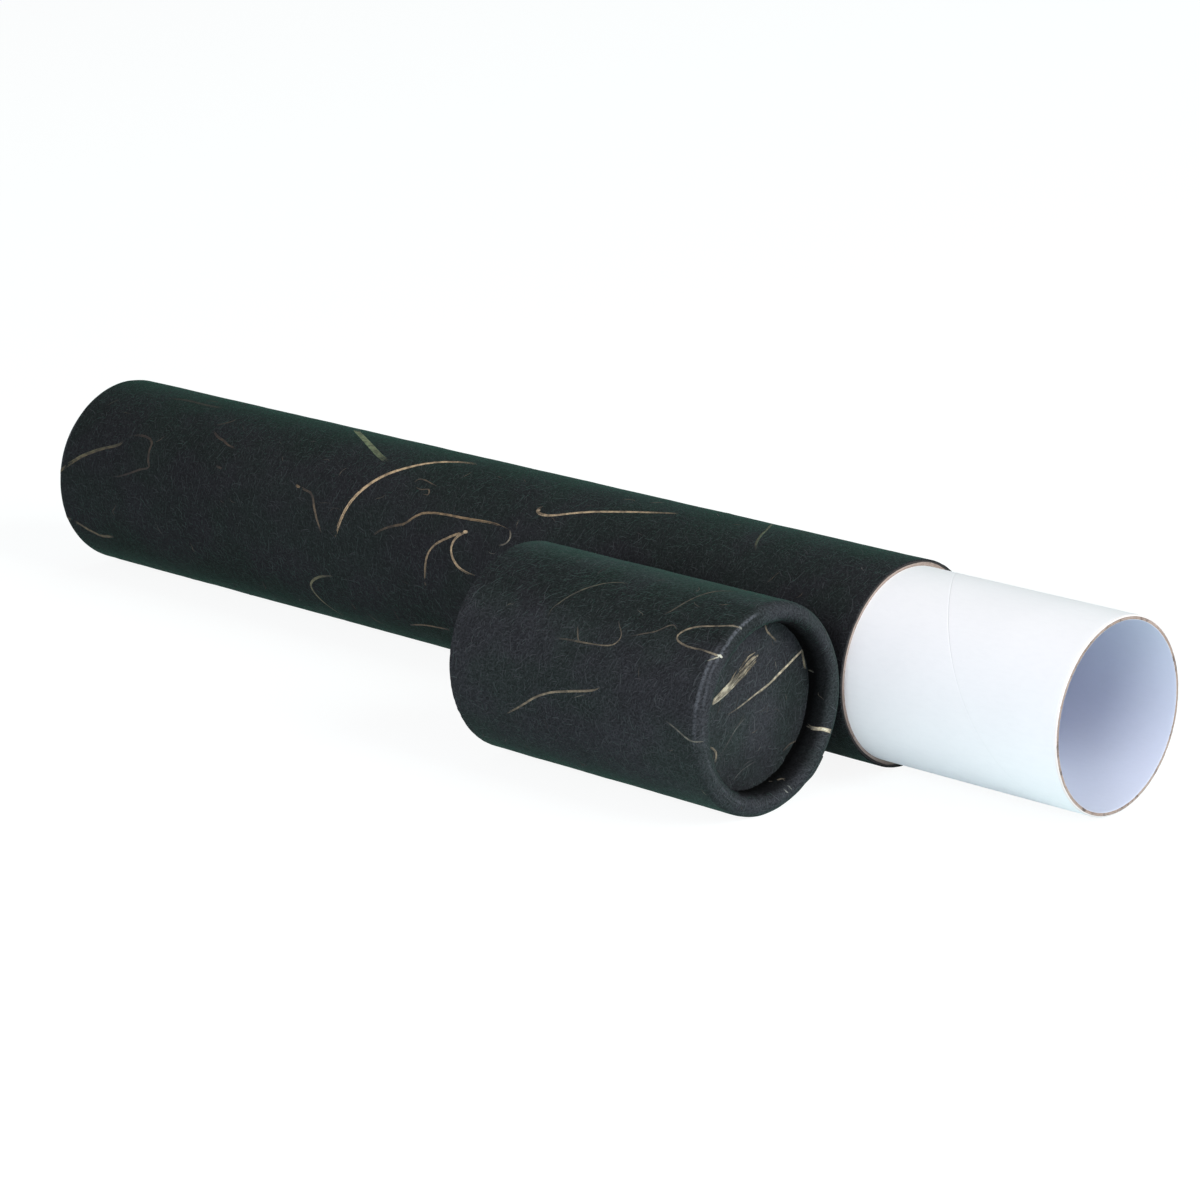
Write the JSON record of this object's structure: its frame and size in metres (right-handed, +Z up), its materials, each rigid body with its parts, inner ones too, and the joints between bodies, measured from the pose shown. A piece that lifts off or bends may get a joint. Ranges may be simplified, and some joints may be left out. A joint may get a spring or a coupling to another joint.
{
  "type": "paper tube with cap",
  "caption": "Round cardboard tube covered in handmade paper, with a white neck and a matching push-on cap lying beside it, for rolled prints.",
  "frame": {"origin": "middle of the ground covered by the tube and the cap beside it", "axes": "+X along the tube's axis, from its closed end to its mouth; +Z up from the surface that both lie on; the cap is on the -Y side"},
  "size_m": [0.435, 0.1286, 0.0644],
  "materials": {
    "kraft_board": "matte brown board",
    "covering_paper": "matte charcoal handmade paper with tan fibres",
    "white_lined_board": "matte white paper on brown board"
  },
  "bodies": {
    "root": {"body_tube": "kraft_board", "body_wrap": "covering_paper", "base_disc": "kraft_board", "base_face_paper": "covering_paper", "neck_tube": "white_lined_board", "cap_tube": "kraft_board", "cap_wrap": "covering_paper", "cap_disc": "kraft_board", "cap_face_paper": "covering_paper"}
  },
  "joints": []
}
